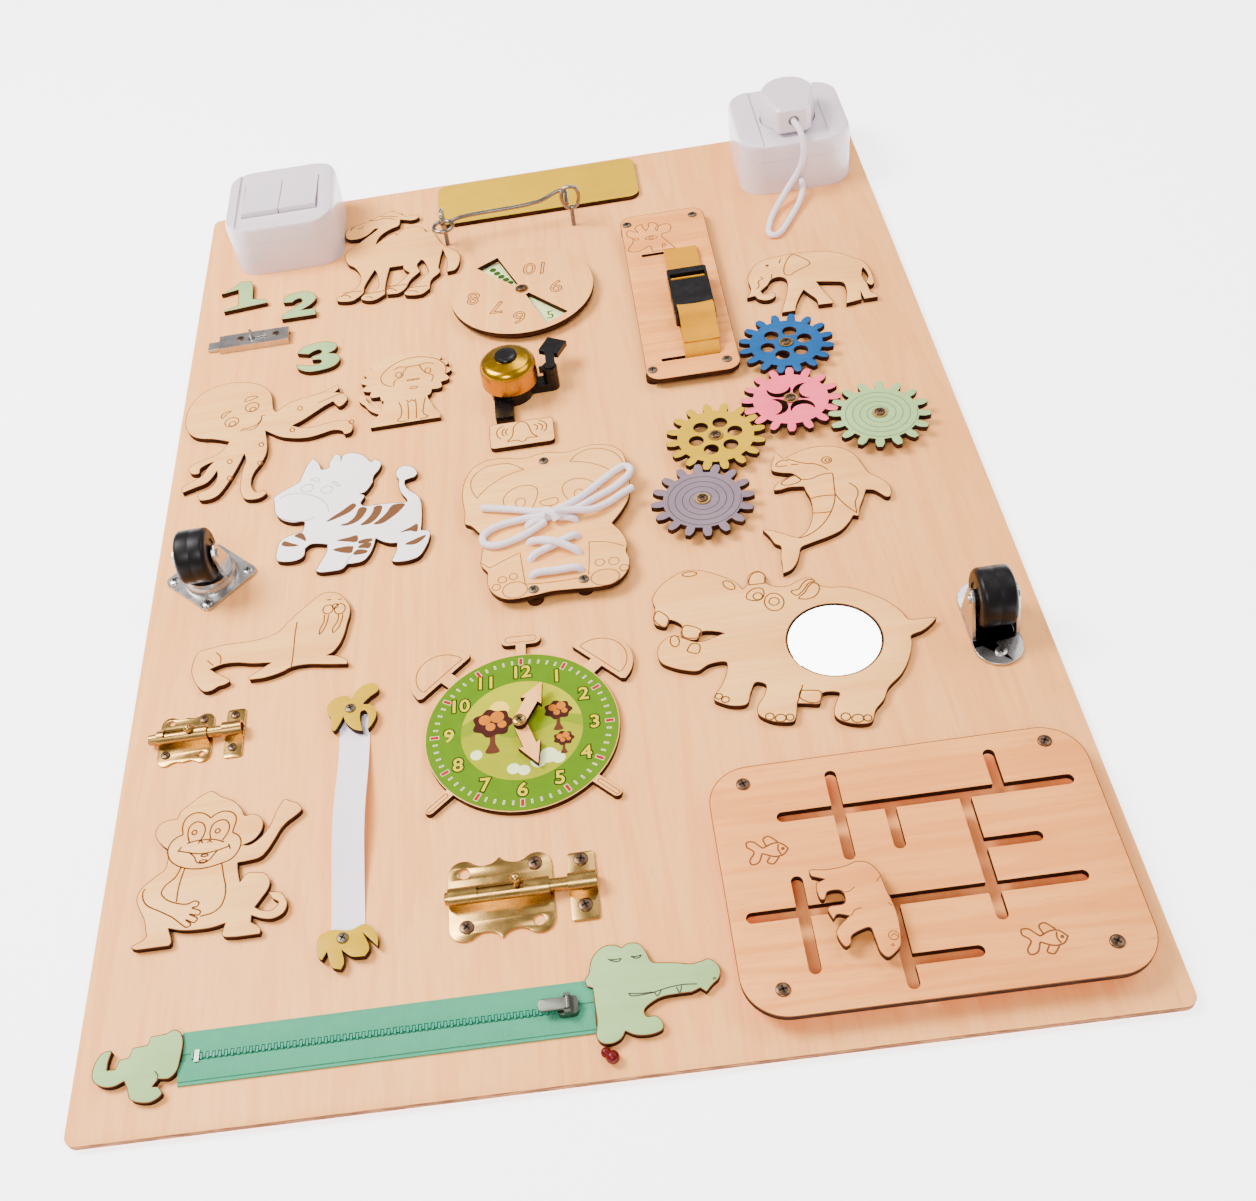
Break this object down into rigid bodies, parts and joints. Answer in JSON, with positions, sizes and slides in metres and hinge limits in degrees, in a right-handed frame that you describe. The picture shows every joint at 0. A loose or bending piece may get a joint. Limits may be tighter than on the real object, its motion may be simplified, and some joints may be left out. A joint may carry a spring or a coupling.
{
  "type": "busy board",
  "caption": "Plywood play board with switches, a plug, bolts, toothed wheels, casters, a bell, a clock, a zip, a buckle, a maze and animal figures.",
  "frame": {"origin": "centre of the board's back face", "axes": "+X to the right, +Y up the board towards the switch and the socket, +Z out of the board's face"},
  "size_m": [0.5, 0.745, 0.0643],
  "materials": {
    "birch_plywood": "clear satin lacquer, dark laser-cut edges",
    "white_plastic": "glossy moulded",
    "black_plastic": "satin moulded",
    "yellow_wood": "yellow paint",
    "blue_wood": "blue paint",
    "pink_wood": "pink paint",
    "mint_wood": "pale green paint",
    "lilac_wood": "greyish lilac paint",
    "green_wood": "green paint with printed dial",
    "white_wood": "white paint with brown printed stripes",
    "steel": "zinc plated, polished",
    "brass": "polished",
    "gold": "mirror polished, lacquered",
    "mirror": "clear",
    "orange_webbing": "woven polyester",
    "white_cloth": "soft woven",
    "teal_tape": "woven zip tape",
    "black_rubber": "matt moulded"
  },
  "bodies": {
    "panel": {"board": "birch_plywood", "sign_plate": "yellow_wood", "zebra": "white_wood", "octopus": "birch_plywood", "monkey": "birch_plywood", "hippo": "birch_plywood", "mirror": "mirror", "switch_box": "white_plastic", "switch_cover": "white_plastic", "socket_box": "white_plastic", "socket_cover": "white_plastic", "plug_cord": "white_plastic", "screw_eye_left": "steel", "screw_eye_right": "steel", "steel_bolt_case": "steel", "small_bolt_plate": "brass", "small_bolt_keeper": "brass", "large_bolt_plate": "brass", "large_bolt_keeper": "brass", "caster_plate": "steel", "fixed_caster_bracket": "black_plastic", "bell_dome": "gold", "bell_base": "black_plastic", "clock_body": "green_wood", "maze_plate": "birch_plywood", "crocodile_head": "mint_wood", "crocodile_tail": "mint_wood", "zipper_tape": "teal_tape", "ribbon": "white_cloth", "banana_top": "yellow_wood", "banana_bottom": "yellow_wood", "buckle_panel": "birch_plywood", "buckle_socket": "black_plastic", "strap_upper": "orange_webbing", "strap_lower": "orange_webbing", "panda_plate": "birch_plywood", "shoelace": "white_cloth"},
    "rocker_left_body": {"rocker_left": "white_plastic"},
    "rocker_right_body": {"rocker_right": "white_plastic"},
    "plug_body": {"plug": "white_plastic"},
    "cabin_hook_body": {"cabin_hook": "steel"},
    "counting_wheel_body": {"counting_wheel": "birch_plywood"},
    "gear_pink_body": {"gear_pink": "pink_wood"},
    "gear_blue_body": {"gear_blue": "blue_wood"},
    "gear_mint_body": {"gear_mint": "mint_wood"},
    "gear_yellow_body": {"gear_yellow": "yellow_wood"},
    "gear_grey_body": {"gear_grey": "lilac_wood"},
    "steel_bolt_slider_body": {"steel_bolt_slider": "steel"},
    "small_bolt_rod_body": {"small_bolt_rod": "brass"},
    "large_bolt_rod_body": {"large_bolt_rod": "brass"},
    "caster_fork_body": {"caster_fork": "steel"},
    "caster_wheel_body": {"caster_wheel": "black_rubber"},
    "fixed_caster_wheel_body": {"fixed_caster_wheel": "black_rubber"},
    "bell_lever_body": {"bell_lever": "black_plastic"},
    "hour_hand_body": {"hour_hand": "birch_plywood"},
    "minute_hand_body": {"minute_hand": "birch_plywood"},
    "bear_body": {"bear": "birch_plywood"},
    "zipper_slider_body": {"zipper_slider": "steel"},
    "zipper_pull_body": {"zipper_pull": "steel"},
    "buckle_clip_body": {"buckle_clip": "black_plastic"}
  },
  "joints": [
    {"name": "rocker_left_tip", "type": "hinge", "parent": "panel", "child": "rocker_left_body", "pos_m": [-0.19755, 0.3285, 0.0372], "axis": [1, 0, 0], "range_deg": [0, 8]},
    {"name": "rocker_right_tip", "type": "hinge", "parent": "panel", "child": "rocker_right_body", "pos_m": [-0.16945, 0.3285, 0.0372], "axis": [1, 0, 0], "range_deg": [0, 8]},
    {"name": "plug_pull", "type": "slide", "parent": "panel", "child": "plug_body", "axis": [0, 0, 1], "range_m": [0, 0.03]},
    {"name": "hook_swing", "type": "hinge", "parent": "panel", "child": "cabin_hook_body", "pos_m": [-0.0641, 0.28265, 0.024], "axis": [0, 0, 1], "range_deg": [0, 35]},
    {"name": "counting_turn", "type": "hinge", "parent": "panel", "child": "counting_wheel_body", "pos_m": [-0.0115, 0.208, 0.01], "axis": [0, 0, 1], "continuous": true},
    {"name": "pink_turn", "type": "hinge", "parent": "panel", "child": "gear_pink_body", "pos_m": [0.1497, 0.0489, 0.01], "axis": [0, 0, 1], "continuous": true},
    {"name": "blue_turn", "type": "hinge", "parent": "panel", "child": "gear_blue_body", "pos_m": [0.15662, 0.10447, 0.01], "axis": [0, 0, 1], "continuous": true},
    {"name": "mint_turn", "type": "hinge", "parent": "panel", "child": "gear_mint_body", "pos_m": [0.1996, 0.02348, 0.01], "axis": [0, 0, 1], "continuous": true},
    {"name": "yellow_turn", "type": "hinge", "parent": "panel", "child": "gear_yellow_body", "pos_m": [0.0992, 0.0247, 0.01], "axis": [0, 0, 1], "continuous": true},
    {"name": "grey_turn", "type": "hinge", "parent": "panel", "child": "gear_grey_body", "pos_m": [0.08376, -0.02913, 0.01], "axis": [0, 0, 1], "continuous": true},
    {"name": "steel_bolt_slide", "type": "slide", "parent": "panel", "child": "steel_bolt_slider_body", "axis": [1, 0, 0], "range_m": [0, 0.01]},
    {"name": "small_bolt_slide", "type": "slide", "parent": "panel", "child": "small_bolt_rod_body", "axis": [-1, 0, 0], "range_m": [0, 0.011]},
    {"name": "large_bolt_slide", "type": "slide", "parent": "panel", "child": "large_bolt_rod_body", "axis": [-1, 0, 0], "range_m": [0, 0.015]},
    {"name": "caster_swivel", "type": "hinge", "parent": "panel", "child": "caster_fork_body", "pos_m": [-0.2143, -0.0275, 0.012], "axis": [0, 0, 1], "continuous": true},
    {"name": "caster_spin", "type": "hinge", "parent": "caster_fork_body", "child": "caster_wheel_body", "pos_m": [-0.2143, -0.036, 0.032], "axis": [1, 0, 0], "continuous": true},
    {"name": "fixed_caster_spin", "type": "hinge", "parent": "panel", "child": "fixed_caster_wheel_body", "pos_m": [0.221, -0.147, 0.026], "axis": [1, 0, 0], "continuous": true},
    {"name": "bell_flick", "type": "hinge", "parent": "panel", "child": "bell_lever_body", "pos_m": [0.0025, 0.1055, 0.019], "axis": [0, 0, 1], "range_deg": [-25, 0], "stiffness_Nm_per_rad": 0.02},
    {"name": "hour_turn", "type": "hinge", "parent": "panel", "child": "hour_hand_body", "pos_m": [-0.0326, -0.1773, 0.01], "axis": [0, 0, 1], "continuous": true},
    {"name": "minute_turn", "type": "hinge", "parent": "panel", "child": "minute_hand_body", "pos_m": [-0.0326, -0.1773, 0.014], "axis": [0, 0, 1], "continuous": true},
    {"name": "bear_walk", "type": "slide", "parent": "panel", "child": "bear_body", "axis": [1, 0, 0], "range_m": [-0.05, 0.098]},
    {"name": "zip_slide", "type": "slide", "parent": "panel", "child": "zipper_slider_body", "axis": [-1, 0, 0], "range_m": [0, 0.165]},
    {"name": "pull_lift", "type": "hinge", "parent": "zipper_slider_body", "child": "zipper_pull_body", "pos_m": [-0.02, -0.3376, 0.0113], "axis": [0, 1, 0], "range_deg": [0, 150]},
    {"name": "buckle_release", "type": "slide", "parent": "panel", "child": "buckle_clip_body", "axis": [0, -1, 0], "range_m": [0, 0.022], "deforming": ["strap_lower"]}
  ],
  "couplings": [
    {"joint": "blue_turn", "follows": "pink_turn", "ratio": -1},
    {"joint": "mint_turn", "follows": "pink_turn", "ratio": -1},
    {"joint": "yellow_turn", "follows": "pink_turn", "ratio": -1},
    {"joint": "grey_turn", "follows": "pink_turn", "ratio": 1}
  ]
}
